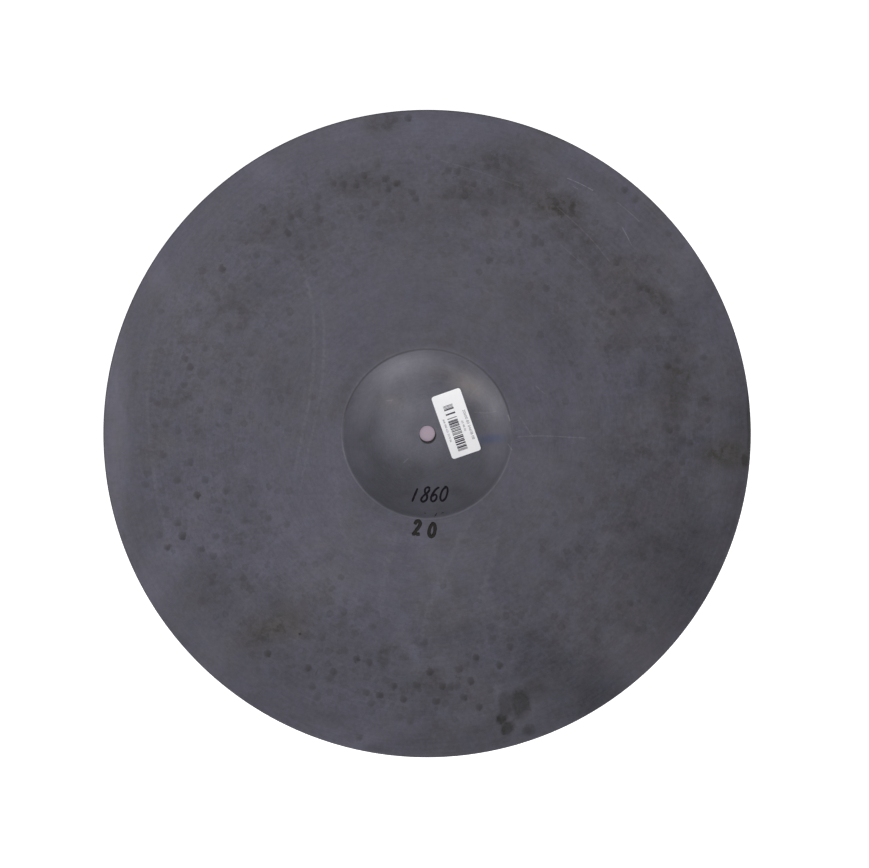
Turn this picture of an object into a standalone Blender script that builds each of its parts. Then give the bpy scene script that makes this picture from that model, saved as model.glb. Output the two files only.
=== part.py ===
"""A ride cymbal: one hammered bronze plate, with a paper label stuck inside its bell.

The cymbal lies on its bell with its hollow underside up. The origin is the centre of the
mounting hole on the crown's playing face, the lowest point, and +Z runs up the axis.
Lengths are in metres and angles in degrees.
"""
import math

import bmesh
import bpy

# Plate
PLATE_DIAMETER = 0.508
HOLE_DIAMETER = 0.0127
CROWN_LAND_WIDTH = 0.0056
BELL_DIAMETER = 0.138
BELL_HEIGHT = 0.024
BELL_BEND_RADIUS = 0.003
BOW_SLOPE_AT_BELL = 4.0
BOW_SLOPE_AT_EDGE = 12.0
THICKNESS_AT_CROWN = 0.00136
THICKNESS_AT_BEND = 0.00131
THICKNESS_AT_EDGE = 0.00092

# Label
LABEL_LENGTH = 0.053
LABEL_WIDTH = 0.025
LABEL_THICKNESS = 0.00015
LABEL_CORNER_RADIUS = 0.0022
LABEL_FROM_HOLE = 0.0060
LABEL_BEARING = 19.3
LABEL_GAP = 0.0003

# Fineness of the meshes
TURN_STEPS = 96
BELL_STEPS = 8
BEND_STEPS = 3
BOW_STEPS = 8
EDGE_STEPS = 4
LABEL_STEPS_ALONG = 14
LABEL_STEPS_ACROSS = 7
CORNER_STEPS = 4

HOLE_RADIUS = HOLE_DIAMETER / 2
CROWN_RADIUS = HOLE_RADIUS + CROWN_LAND_WIDTH
BELL_RADIUS = BELL_DIAMETER / 2


def clear_scene():
    for item in list(bpy.data.objects):
        bpy.data.objects.remove(item, do_unlink=True)


def make_material(name, color, roughness, metallic):
    material = bpy.data.materials.new(name)
    material.use_nodes = True
    shader = material.node_tree.nodes["Principled BSDF"]
    shader.inputs["Base Color"].default_value = (*color, 1.0)
    shader.inputs["Roughness"].default_value = roughness
    shader.inputs["Metallic"].default_value = metallic
    return material


def add_object(name, bm, material):
    mesh = bpy.data.meshes.new(name)
    bm.to_mesh(mesh)
    bm.free()
    mesh.materials.append(material)
    piece = bpy.data.objects.new(name, mesh)
    bpy.context.collection.objects.link(piece)
    return piece


def arc_stations(start, radius, slope_from, slope_to, steps):
    """Follow an arc in the radial plane and give a (radius, height, slope) at each step.

    The slope goes evenly from one angle to the other. It rises where the curve is hollow
    seen from above, and falls where the curve is a ridge.
    """
    side = 1 if slope_to > slope_from else -1
    stations = []
    for step in range(1, steps + 1):
        slope = slope_from + (slope_to - slope_from) * step / steps
        across = side * radius * (math.sin(slope) - math.sin(slope_from))
        rise = side * radius * (math.cos(slope_from) - math.cos(slope))
        stations.append((start[0] + across, start[1] + rise, slope))
    return stations


def playing_face():
    """Stations of the playing face, from the hole out to the edge.

    A level land, the bell's arc and the bend at its rim meet without a corner, and the bow
    is one long arc that steepens towards the edge.
    """
    slope_at_bell = math.radians(BOW_SLOPE_AT_BELL)
    slope_at_edge = math.radians(BOW_SLOPE_AT_EDGE)

    # The bell's arc ends where the bend begins, so its steepest slope follows from both.
    run = BELL_RADIUS - CROWN_RADIUS + BELL_BEND_RADIUS * math.sin(slope_at_bell)
    climb = BELL_HEIGHT + BELL_BEND_RADIUS * (1 - math.cos(slope_at_bell))
    bell_slope = 2 * math.atan(climb / run)
    bell_arc_radius = run / math.sin(bell_slope) - BELL_BEND_RADIUS

    # The rounded edge stands out by half a thickness past the mid surface.
    edge_inset = THICKNESS_AT_EDGE / 2 * (1 - math.sin(slope_at_edge))
    bow_run = PLATE_DIAMETER / 2 - edge_inset - BELL_RADIUS
    bow_arc_radius = bow_run / (math.sin(slope_at_edge) - math.sin(slope_at_bell))

    stations = [(HOLE_RADIUS, 0.0, 0.0), (CROWN_RADIUS, 0.0, 0.0)]
    stations += arc_stations(stations[-1], bell_arc_radius, 0.0, bell_slope, BELL_STEPS)
    stations += arc_stations(stations[-1], BELL_BEND_RADIUS, bell_slope, slope_at_bell, BEND_STEPS)
    stations += arc_stations(stations[-1], bow_arc_radius, slope_at_bell, slope_at_edge, BOW_STEPS)
    return stations


def thickness_at(radius):
    """Wall thickness: almost even over the bell, then thinning steadily to the edge."""
    if radius < BELL_RADIUS:
        share = (radius - HOLE_RADIUS) / (BELL_RADIUS - HOLE_RADIUS)
        return THICKNESS_AT_CROWN + (THICKNESS_AT_BEND - THICKNESS_AT_CROWN) * share
    share = (radius - BELL_RADIUS) / (PLATE_DIAMETER / 2 - BELL_RADIUS)
    return THICKNESS_AT_BEND + (THICKNESS_AT_EDGE - THICKNESS_AT_BEND) * share


def underside_face():
    """The other face of the wall, one wall thickness off the playing face."""
    points = []
    for radius, height, slope in playing_face():
        wall = thickness_at(radius)
        points.append((radius - wall * math.sin(slope), height + wall * math.cos(slope)))
    return points


def rounded_edge():
    """Half a circle round the outer edge, from the playing face to the underside."""
    radius, height, slope = playing_face()[-1]
    half = thickness_at(radius) / 2
    middle = (radius - half * math.sin(slope), height + half * math.cos(slope))
    points = []
    for step in range(1, EDGE_STEPS):
        turn = slope - math.pi / 2 + math.pi * step / EDGE_STEPS
        points.append((middle[0] + half * math.cos(turn), middle[1] + half * math.sin(turn)))
    return points


def underside_height(radius):
    """Height of the underside at a distance from the axis."""
    points = underside_face()
    for (near, low), (far, high) in zip(points, points[1:]):
        if radius <= far:
            return low + (high - low) * (radius - near) / (far - near)
    return points[-1][1]


def underside_radius(walked):
    """Distance from the axis after walking outwards along the underside from the hole."""
    points = underside_face()
    for here, there in zip(points, points[1:]):
        stride = math.dist(here, there)
        if walked <= stride:
            return here[0] + (there[0] - here[0]) * walked / stride
        walked -= stride
    return points[-1][0]


def make_plate(material):
    """Turn the closed outline of the wall once round the axis."""
    outline = [(radius, height) for radius, height, _ in playing_face()]
    outline += rounded_edge()
    outline += reversed(underside_face())

    bm = bmesh.new()
    ring = [bm.verts.new((radius, 0.0, height)) for radius, height in outline]
    edges = [bm.edges.new((a, b)) for a, b in zip(ring, ring[1:] + ring[:1])]
    bmesh.ops.spin(bm, geom=ring + edges, cent=(0, 0, 0), axis=(0, 0, 1),
                   angle=math.tau, steps=TURN_STEPS, use_merge=True)
    bmesh.ops.recalc_face_normals(bm, faces=bm.faces)
    plate = add_object("cymbal_plate", bm, material)
    plate.data.shade_smooth()
    plate.data.set_sharp_from_angle(angle=math.radians(40))
    return plate


def make_label(material):
    """A thin rounded sheet that lies on the bell's wall, its long side across the radius."""
    bm = bmesh.new()
    bmesh.ops.create_grid(bm, x_segments=LABEL_STEPS_ACROSS, y_segments=LABEL_STEPS_ALONG, size=0.5)
    bmesh.ops.scale(bm, vec=(LABEL_WIDTH, LABEL_LENGTH, 1), verts=bm.verts)
    corners = [vert for vert in bm.verts if len(vert.link_edges) == 2]
    bmesh.ops.bevel(bm, geom=corners, offset=LABEL_CORNER_RADIUS, offset_type="OFFSET",
                    segments=CORNER_STEPS, profile=0.5, affect="VERTICES", material=-1)

    bearing = math.radians(LABEL_BEARING)
    for vert in bm.verts:
        outward = underside_radius(LABEL_FROM_HOLE + LABEL_WIDTH / 2 + vert.co.x)
        sideways = vert.co.y
        vert.co.x = outward * math.cos(bearing) - sideways * math.sin(bearing)
        vert.co.y = outward * math.sin(bearing) + sideways * math.cos(bearing)
        vert.co.z = underside_height(math.hypot(outward, sideways)) + LABEL_GAP
    bmesh.ops.recalc_face_normals(bm, faces=bm.faces)
    label = add_object("paper_label", bm, material)
    sheet = label.modifiers.new("paper", "SOLIDIFY")
    sheet.thickness = LABEL_THICKNESS
    sheet.offset = 1
    return label


def main():
    clear_scene()
    bronze = make_material("dark raw bronze", (0.105, 0.105, 0.130), 0.42, 0.75)
    paper = make_material("white label paper", (0.82, 0.80, 0.85), 0.55, 0.0)
    make_plate(bronze)
    make_label(paper)


main()
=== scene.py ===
import math
import random

import bmesh
import bpy
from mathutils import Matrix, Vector, kdtree, noise


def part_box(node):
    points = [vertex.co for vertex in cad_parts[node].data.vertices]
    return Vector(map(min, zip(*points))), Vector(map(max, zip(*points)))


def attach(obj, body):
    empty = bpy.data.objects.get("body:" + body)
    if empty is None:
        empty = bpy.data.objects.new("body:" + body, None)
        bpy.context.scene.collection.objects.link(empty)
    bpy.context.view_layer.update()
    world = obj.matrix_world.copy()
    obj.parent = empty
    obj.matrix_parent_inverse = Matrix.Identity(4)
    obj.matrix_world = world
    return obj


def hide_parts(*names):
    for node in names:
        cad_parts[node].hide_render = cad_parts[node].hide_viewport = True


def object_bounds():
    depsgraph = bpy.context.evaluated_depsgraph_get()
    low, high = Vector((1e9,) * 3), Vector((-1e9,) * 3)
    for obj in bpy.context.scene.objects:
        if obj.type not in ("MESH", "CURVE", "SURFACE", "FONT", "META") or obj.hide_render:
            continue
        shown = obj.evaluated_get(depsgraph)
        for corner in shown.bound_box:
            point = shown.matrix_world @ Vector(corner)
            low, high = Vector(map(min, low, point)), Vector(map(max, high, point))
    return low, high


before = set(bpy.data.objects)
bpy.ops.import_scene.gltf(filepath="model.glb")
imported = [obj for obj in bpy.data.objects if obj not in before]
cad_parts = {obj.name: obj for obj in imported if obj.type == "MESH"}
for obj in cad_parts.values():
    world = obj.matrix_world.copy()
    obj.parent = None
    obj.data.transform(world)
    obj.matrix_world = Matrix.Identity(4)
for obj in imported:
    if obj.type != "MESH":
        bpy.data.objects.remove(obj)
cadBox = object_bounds()

# The cymbal lies on its bell with the hollow underside up, so +Z runs up through the hole,
# +Y is the top of the picture and the playing face looks at the floor. Lengths are in metres,
# and the marks on the underside are placed in pixels of the photograph's frame.
plate = {
    "radius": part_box("cymbal_plate")[1][0],
    "holeRadius": 0.00635,
    "landWidth": 0.0056,        # level ring round the hole where the felts bear
    "bellRadius": 0.069,
    "bellHeight": 0.024,
    "bendRadius": 0.003,        # where the bell turns into the bow
    "slopeAtBell": 4.0,
    "slopeAtEdge": 12.0,
    "crownWall": 0.00136,
    "bendWall": 0.00131,
    "edgeWall": 0.00092,
    "turnSteps": 400,
    "cornerBreak": 0.00025,     # hole's corners, taken off with a file
    "dentSpacing": 0.021,       # hammer blows on the bow
    "dentReach": 0.55,          # radius of a blow, as a share of the spacing
    "dentDepth": 0.00026,
    "swayHeight": 0.00028,      # slow unevenness left by the hammering
}

bronze = {
    "lavender": (0.0815, 0.0773, 0.0973),
    "dull": (0.0784, 0.0735, 0.0858),
    "bluish": (0.0722, 0.0766, 0.1012),
    "bell": (0.1110, 0.1092, 0.1268),
    "warmAndHighlight": (1.08, 1.03, 0.87),      # worn patches, a painted warm highlight in the bell, and a blue tint
    "blue": (0.74, 0.86, 1.14),
    "rosy": (1.06, 0.98, 1.00),      # tiny shifts of hue in the skin
    "cool": (0.95, 0.99, 1.08),
    "stainAndShade": (0.0370, 0.0340, 0.0275),
    "peck": (0.0290, 0.0258, 0.0255),
    "greaseAndShadow": (0.0150, 0.0142, 0.0108),
    "bareAndHighlight": (0.2600, 0.2600, 0.2900),
}

camera = {
    "height": 1.65,
    "lens": 84.5,
    "sensor": 36.0,
    "aside": (0.0058, -0.0003),  # the disc lies a little left of the picture's middle
    "widthPx": 869,
    "heightPx": 868,
}


def smooth(low, high, value):
    share = min(max((value - low) / (high - low), 0.0), 1.0)
    return share * share * (3 - 2 * share)


def arcStations(start, radius, slopeFrom, slopeTo, steps):
    side = 1 if slopeTo > slopeFrom else -1
    stations = []
    for step in range(1, steps + 1):
        slope = slopeFrom + (slopeTo - slopeFrom) * step / steps
        across = side * radius * (math.sin(slope) - math.sin(slopeFrom))
        rise = side * radius * (math.cos(slopeFrom) - math.cos(slope))
        stations.append((start[0] + across, start[1] + rise, slope))
    return stations


def playingFace(bellSteps, bendSteps, bowSteps):
    # level land, bell arc, bend and bow arc, each tangent to the next
    nearSlope = math.radians(plate["slopeAtBell"])
    farSlope = math.radians(plate["slopeAtEdge"])
    landRadius = plate["holeRadius"] + plate["landWidth"]
    run = plate["bellRadius"] - landRadius + plate["bendRadius"] * math.sin(nearSlope)
    climb = plate["bellHeight"] + plate["bendRadius"] * (1 - math.cos(nearSlope))
    bellSlope = 2 * math.atan(climb / run)
    bellArc = run / math.sin(bellSlope) - plate["bendRadius"]
    inset = plate["edgeWall"] / 2 * (1 - math.sin(farSlope))
    bowRun = plate["radius"] - inset - plate["bellRadius"]
    bowArc = bowRun / (math.sin(farSlope) - math.sin(nearSlope))
    stations = [(plate["holeRadius"], 0.0, 0.0), (landRadius, 0.0, 0.0)]
    stations += arcStations(stations[-1], bellArc, 0.0, bellSlope, bellSteps)
    stations += arcStations(stations[-1], plate["bendRadius"], bellSlope, nearSlope, bendSteps)
    stations += arcStations(stations[-1], bowArc, nearSlope, farSlope, bowSteps)
    return stations


def wallAt(radius):
    if radius < plate["bellRadius"]:
        share = (radius - plate["holeRadius"]) / (plate["bellRadius"] - plate["holeRadius"])
        return plate["crownWall"] + (plate["bendWall"] - plate["crownWall"]) * share
    share = (radius - plate["bellRadius"]) / (plate["radius"] - plate["bellRadius"])
    return plate["bendWall"] + (plate["edgeWall"] - plate["bendWall"]) * share


def underside(bellSteps, bendSteps, bowSteps):
    points = []
    for radius, height, slope in playingFace(bellSteps, bendSteps, bowSteps):
        wall = wallAt(radius)
        points.append((radius - wall * math.sin(slope), height + wall * math.cos(slope), slope))
    return points


finePoints = underside(60, 12, 60)


def undersideHeight(radius):
    for (near, low, _), (far, high, _) in zip(finePoints, finePoints[1:]):
        if radius <= far:
            return low + (high - low) * (radius - near) / (far - near)
    return finePoints[-1][1]


def undersideRadius(walked):
    for here, there in zip(finePoints, finePoints[1:]):
        stride = math.dist(here[:2], there[:2])
        if walked <= stride:
            return here[0] + (there[0] - here[0]) * walked / stride
        walked -= stride
    return finePoints[-1][0]


def hammerRelief(x, y):
    # height of the hammered sheet over its smooth shape, the same on both faces
    radius = math.hypot(x, y)
    land = plate["holeRadius"] + plate["landWidth"]
    calm = smooth(land, land + 0.02, radius)
    onBow = smooth(plate["bellRadius"] - 0.004, plate["bellRadius"] + 0.02, radius)
    spot = Vector((x, y, 0.0))
    reach = noise.voronoi(spot / plate["dentSpacing"])[0][0]
    dent = max(0.0, 1 - (reach / plate["dentReach"]) ** 2) ** 2 * plate["dentDepth"]
    sway = noise.noise(spot * 17) + 0.5 * noise.noise(spot * 41)
    return calm * ((0.35 + 0.65 * onBow) * sway * plate["swayHeight"] - onBow * dent)


def fromPixel(px, py):
    # spot on the underside that the camera sees at a pixel of the photograph's frame
    focalPx = camera["widthPx"] * camera["lens"] / camera["sensor"]
    height = cadBox[1][2]
    for _ in range(6):
        scale = (camera["height"] - height) / focalPx
        x = camera["aside"][0] + (px - camera["widthPx"] / 2) * scale
        y = camera["aside"][1] - (py - camera["heightPx"] / 2) * scale
        height = undersideHeight(math.hypot(x, y))
    return x, y


def addPiece(name, bm, material, node=None):
    mesh = bpy.data.meshes.new(name)
    bm.to_mesh(mesh)
    bm.free()
    mesh.materials.append(material)
    mesh.shade_smooth()
    piece = bpy.data.objects.new(name, mesh)
    bpy.context.collection.objects.link(piece)
    if node:
        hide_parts(node)
    return piece


# Node graphs: put() makes a node and joins its inputs, tint() mixes two colours
def put(tree, kind, inputs, **settings):
    node = tree.nodes.new(kind)
    for key, value in settings.items():
        setattr(node, key, value)
    for key, value in inputs.items():
        if isinstance(value, bpy.types.NodeSocket):
            tree.links.new(value, node.inputs[key])
        else:
            node.inputs[key].default_value = value
    return node


def tint(tree, factor, first, second, blend="MIX"):
    node = tree.nodes.new("ShaderNodeMix")
    node.data_type = "RGBA"
    node.blend_type = blend
    for socket, value in ((node.inputs[0], factor), (node.inputs[6], first), (node.inputs[7], second)):
        if isinstance(value, bpy.types.NodeSocket):
            tree.links.new(value, socket)
        else:
            socket.default_value = value if socket is node.inputs[0] else (*value, 1.0)
    return node.outputs[2]


def sums(tree, operation, *values):
    node = tree.nodes.new("ShaderNodeMath")
    node.operation = operation
    for socket, value in zip(node.inputs, values):
        if isinstance(value, bpy.types.NodeSocket):
            tree.links.new(value, socket)
        else:
            socket.default_value = value
    return node.outputs[0]


def times(tree, first, second):
    return sums(tree, "MULTIPLY", first, second)


def plus(tree, first, second):
    return sums(tree, "ADD", first, second)


def span(tree, value, fromLow, fromHigh, toLow=0.0, toHigh=1.0, soft=False):
    kind = "SMOOTHSTEP" if soft else "LINEAR"
    node = put(tree, "ShaderNodeMapRange", {"Value": value, "From Min": fromLow, "From Max": fromHigh,
                                            "To Min": toLow, "To Max": toHigh}, interpolation_type=kind)
    return node.outputs[0]


def swing(tree, pattern, size):
    # the usual range of a noise, made to run from -size to size
    return span(tree, pattern, 0.3, 0.7, -size, size)


def cloud(tree, vector, scale, detail=4.0, rough=0.6, warp=0.0):
    node = put(tree, "ShaderNodeTexNoise", {"Vector": vector, "Scale": scale, "Detail": detail,
                                            "Roughness": rough, "Distortion": warp})
    return node.outputs["Fac"]


def newMaterial(name):
    material = bpy.data.materials.new(name)
    material.use_nodes = True
    tree = material.node_tree
    tree.nodes.clear()
    shader = tree.nodes.new("ShaderNodeBsdfPrincipled")
    sink = tree.nodes.new("ShaderNodeOutputMaterial")
    tree.links.new(shader.outputs[0], sink.inputs["Surface"])
    return material, tree, shader


def reachOf(tree, x, y):
    flat = put(tree, "ShaderNodeCombineXYZ", {"X": x, "Y": y}).outputs[0]
    return put(tree, "ShaderNodeVectorMath", {0: flat}, operation="LENGTH").outputs["Value"]


def threeOf(tree, attribute):
    marks = put(tree, "ShaderNodeAttribute", {}, attribute_name=attribute)
    return put(tree, "ShaderNodeSeparateXYZ", {"Vector": marks.outputs["Vector"]}).outputs


# Where the finish changes, as radii, and how many features each texture has to a metre
finish = {
    "bellFade": (0.0695, 0.0665),
    "beltIn": (0.125, 0.160),        # the belt of hammer marks
    "beltOut": (0.240, 0.212),
    "shadeLineRing": (0.0672, 0.0014),  # rings at the bell's rim: middle, half width
    "shadeBandRing": (0.0735, 0.0065),
    "rubbedHighlightRing": (0.0679, 0.0010),
    "holeShadowShift": (0.0004, -0.0014),   # middle of the painted shadow round the hole
    "holeShadowFade": (0.0071, 0.0065),
    "edgeFade": (0.0011, 0.0003),    # in from the edge
    "wide": 9.0,
    "patch": 26.0,
    "smudge": 48.0,
    "mottle": 75.0,
    "crust": 150.0,
    "speck": 330.0,
    "fleck": 430.0,
    "grain": 800.0,
    "crowd": 17.0,
    "buffing": (9.0, 760.0),         # round the turn and across it
    "bands": (1.8, 70.0),
    "metallic": 0.4,
    "specular": 0.4,
}


def bronzeMaterial():
    material, tree, shader = newMaterial("raw bronze")
    place = put(tree, "ShaderNodeTexCoord", {}).outputs["Object"]
    axes = put(tree, "ShaderNodeSeparateXYZ", {"Vector": place}).outputs
    flat = put(tree, "ShaderNodeCombineXYZ", {"X": axes["X"], "Y": axes["Y"]}).outputs[0]
    radius = reachOf(tree, axes["X"], axes["Y"])
    turned = put(tree, "ShaderNodeSeparateXYZ", {
        "Vector": put(tree, "ShaderNodeVectorMath", {0: flat}, operation="NORMALIZE").outputs[0]}).outputs
    inBell = span(tree, radius, *finish["bellFade"], soft=True)

    def circling(along, across):
        # long in the direction of turning, narrow along the radius, with no seam
        return put(tree, "ShaderNodeCombineXYZ", {
            "X": times(tree, turned["X"], along),
            "Y": times(tree, turned["Y"], along),
            "Z": times(tree, radius, across)}).outputs[0]

    # oxide skin: slow clouds, a mottle, a fine grain, buffing rings and the bands between them
    wide = cloud(tree, place, finish["wide"], 3.0, 0.55, 0.5)
    patch = cloud(tree, place, finish["patch"], 5.0, 0.6, 0.6)
    mottle = cloud(tree, place, finish["mottle"], 5.0, 0.65, 0.2)
    crust = cloud(tree, place, finish["crust"], 5.0, 0.72, 0.3)
    speck = cloud(tree, place, finish["speck"], 3.0, 0.6)
    grain = cloud(tree, place, finish["grain"], 3.0, 0.7)
    buff = cloud(tree, circling(*finish["buffing"]), 1.0, 3.0, 0.7)
    bands = cloud(tree, circling(*finish["bands"]), 1.0, 3.0, 0.6)

    lavender, dull, bluish = bronze["lavender"], bronze["dull"], bronze["bluish"]
    blend = plus(tree, wide, swing(tree, patch, 0.16))
    color = tint(tree, span(tree, blend, 0.36, 0.66, soft=True), lavender, dull)
    color = tint(tree, span(tree, mottle, 0.44, 0.66, 0.0, 0.5), color, bluish)
    color = tint(tree, times(tree, inBell, 0.8), color, bronze["bell"])
    color = tint(tree, span(tree, speck, 0.42, 0.62, 0.0, 0.5), color, bronze["rosy"], "MULTIPLY")
    color = tint(tree, span(tree, grain, 0.42, 0.62, 0.0, 0.5), color, bronze["cool"], "MULTIPLY")

    stainAndShade = threeOf(tree, "stainsAndShading")
    brown, wipesAndShading, warmthAndHighlight = stainAndShade["X"], stainAndShade["Y"], stainAndShade["Z"]
    color = tint(tree, span(tree, warmthAndHighlight, 0.0, 1.0), color, bronze["warmAndHighlight"], "MULTIPLY")
    color = tint(tree, span(tree, warmthAndHighlight, 0.0, -1.0), color, bronze["blue"], "MULTIPLY")
    belt = times(tree, span(tree, radius, *finish["beltIn"], soft=True),
                 span(tree, radius, *finish["beltOut"], soft=True))

    # brightness of the skin
    light = swing(tree, mottle, 0.13)
    light = plus(tree, light, swing(tree, speck, 0.09))
    light = times(tree, light, span(tree, inBell, 0.0, 1.0, 1.0, 0.42))
    light = plus(tree, light, swing(tree, patch, 0.15))
    light = times(tree, light, span(tree, belt, 0.0, 1.0, 1.0, 1.35))
    light = plus(tree, light, swing(tree, grain, 0.05))
    light = plus(tree, light, swing(tree, buff, 0.07))
    light = plus(tree, light, swing(tree, bands, 0.06))
    # the wipes bring painted light and shade as well as wiped spots
    light = plus(tree, light, times(tree, wipesAndShading, span(tree, mottle, 0.3, 0.7, 0.8, 1.2)))
    light = plus(tree, light, 1.0)
    color = put(tree, "ShaderNodeVectorMath", {0: color, "Scale": light}, operation="SCALE").outputs[0]

    # brown stains: a thin veil, with blotches and specks where it is thickest
    veil = times(tree, brown, span(tree, crust, 0.42, 0.60, 0.28, 1.15))
    blotch = span(tree, plus(tree, speck, times(tree, brown, 0.22)), 0.58, 0.76, soft=True)
    stained = plus(tree, veil, times(tree, times(tree, blotch, brown), 0.30))
    color = tint(tree, sums(tree, "MINIMUM", stained, 0.93), color, bronze["stainAndShade"])

    # dirt of the hammered belt: smudges and tiny dark specks
    smudge = span(tree, cloud(tree, place, finish["smudge"], 5.0, 0.7, 0.3), 0.53, 0.72, soft=True)
    fleck = span(tree, cloud(tree, place, finish["fleck"], 2.0, 0.5), 0.66, 0.74, soft=True)
    smudge = times(tree, smudge, span(tree, crust, 0.40, 0.60, 0.18, 0.62))
    dirt = plus(tree, smudge, times(tree, fleck, 0.30))
    color = tint(tree, times(tree, dirt, belt), color, bronze["stainAndShade"])

    # rim of the bell: painted shade on the top side; below, rubbed metal brightened as a painted highlight
    def ringAt(middle, half):
        away = sums(tree, "ABSOLUTE", sums(tree, "SUBTRACT", radius, middle))
        return span(tree, away, half, 0.0, soft=True)

    topSide = span(tree, turned["Y"], -0.05, 0.35, soft=True)
    lowSide = span(tree, turned["Y"], 0.05, -0.3, soft=True)
    rimShadeLine = times(tree, ringAt(*finish["shadeLineRing"]), topSide)
    rimShadeBand = times(tree, ringAt(*finish["shadeBandRing"]), topSide)
    rubbedAndHighlight = times(tree, ringAt(*finish["rubbedHighlightRing"]), lowSide)
    rubbedAndHighlight = times(tree, rubbedAndHighlight, span(tree, bands, 0.35, 0.6, 0.5, 1.0))
    # painted shade along the top of the rim, painted highlight along its bottom
    color = tint(tree, times(tree, rimShadeLine, 0.28), color, bronze["stainAndShade"])
    color = tint(tree, times(tree, rimShadeBand, 0.14), color, bronze["stainAndShade"])
    color = tint(tree, times(tree, rubbedAndHighlight, 0.32), color, bronze["bareAndHighlight"])

    # painted shadow on the lower lip of the hole
    holeShadowReach = reachOf(tree, plus(tree, axes["X"], -finish["holeShadowShift"][0]),
                  plus(tree, axes["Y"], -finish["holeShadowShift"][1]))
    holeShadow = span(tree, holeShadowReach, *finish["holeShadowFade"], 0.0, 0.93, soft=True)
    color = tint(tree, holeShadow, color, bronze["greaseAndShadow"])

    # faint hammer pecks strewn over the bow, each a ring that is darkest on one side
    cells = put(tree, "ShaderNodeTexVoronoi", {"Vector": flat, "Scale": 1 / pecks["strayPace"],
                                               "Randomness": 0.85}, voronoi_dimensions="2D")
    chance = put(tree, "ShaderNodeSeparateColor", {"Color": cells.outputs["Color"]}).outputs
    ring = times(tree, span(tree, radius, *pecks["strayIn"], soft=True),
                 span(tree, radius, *pecks["strayOut"], soft=True))
    crowd = times(tree, ring, span(tree, cloud(tree, flat, finish["crowd"], 2.0, 0.5), 0.38, 0.62))
    present = span(tree, sums(tree, "SUBTRACT", times(tree, crowd, 0.95), chance[0]), 0.0, 0.02)
    strayReach = sums(tree, "DIVIDE", cells.outputs["Distance"], span(tree, chance[2], 0.0, 1.0, 0.24, 0.34))
    strayReach = plus(tree, strayReach, swing(tree, mottle, 0.30))
    strayReach = plus(tree, strayReach, swing(tree, speck, 0.28))
    strayDisc = span(tree, strayReach, 1.15, 0.65, soft=True)
    strayRim = times(tree, strayDisc, span(tree, strayReach, 0.2, 0.85, 0.55, 1.0))
    stray = times(tree, times(tree, strayRim, present),
                  span(tree, chance[1], 0.0, 1.0, 0.06, 0.34))

    # placed pecks, in layers so that neighbours keep their whole round shape
    darkest, hollow = stray, stray
    for layer in range(pecks["layers"]):
        peck = threeOf(tree, f"pecks{layer}")
        dx = plus(tree, peck["X"], swing(tree, mottle, 0.30))
        dy = plus(tree, peck["Y"], swing(tree, speck, 0.34))
        disc = span(tree, reachOf(tree, dx, dy), 1.12, 0.70, soft=True)
        # each placed peck is painted darker towards its lower right, as painted shade in its dent
        inside = reachOf(tree, plus(tree, dx, -0.26), plus(tree, dy, 0.30))
        shade = times(tree, disc, span(tree, inside, 0.25, 1.05, 1.0, 0.55))
        shade = times(tree, shade, span(tree, speck, 0.3, 0.62, 0.62, 1.08))
        darkest = sums(tree, "MAXIMUM", darkest, times(tree, shade, peck["Z"]))
        hollow = sums(tree, "MAXIMUM", hollow, times(tree, disc, peck["Z"]))
    color = tint(tree, darkest, color, bronze["peck"])

    # smears with an edge: greasy finger marks near the rim
    smear = threeOf(tree, "smears")
    edge = plus(tree, smear["X"], swing(tree, mottle, 0.22))
    edge = plus(tree, edge, swing(tree, speck, 0.10))
    film = times(tree, span(tree, edge, -0.04, 0.46, soft=True), smear["Y"])
    film = times(tree, film, span(tree, crust, 0.36, 0.6, 0.7, 1.05))
    color = tint(tree, sums(tree, "MINIMUM", film, 0.92), color, bronze["greaseAndShadow"])

    # scratches down to cleaner metal
    for layer in range(scratchLayers):
        scratch = threeOf(tree, f"scratches{layer}")
        line = span(tree, reachOf(tree, scratch["X"], scratch["Y"]), 1.1, 0.3, soft=True)
        line = times(tree, line, scratch["Z"])
        line = times(tree, line, span(tree, speck, 0.35, 0.6, 0.35, 1.0))
        color = tint(tree, line, color, bronze["bareAndHighlight"])

    # the very edge is painted darker
    edgeFrom, edgeTo = (plate["radius"] - inwards for inwards in finish["edgeFade"])
    edgeDarkening = span(tree, radius, edgeFrom, edgeTo, 0.0, 0.45, soft=True)
    color = tint(tree, edgeDarkening, color, bronze["stainAndShade"])
    tree.links.new(color, shader.inputs["Base Color"])

    rough = span(tree, patch, 0.3, 0.7, 0.46, 0.58)
    rough = plus(tree, rough, swing(tree, mottle, 0.05))
    rough = plus(tree, rough, times(tree, stained, 0.12))
    rough = plus(tree, rough, times(tree, rimShadeLine, 0.40))
    rough = sums(tree, "SUBTRACT", rough, times(tree, inBell, 0.05))
    tree.links.new(rough, shader.inputs["Roughness"])
    shader.inputs["Metallic"].default_value = finish["metallic"]
    shader.inputs["Specular IOR Level"].default_value = finish["specular"]

    height = plus(tree, times(tree, grain, 0.25), times(tree, buff, 0.35))
    height = sums(tree, "SUBTRACT", height, times(tree, hollow, 0.9))
    bump = put(tree, "ShaderNodeBump", {"Height": height, "Strength": 0.2, "Distance": 0.0002})
    tree.links.new(bump.outputs[0], shader.inputs["Normal"])
    return material
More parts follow.
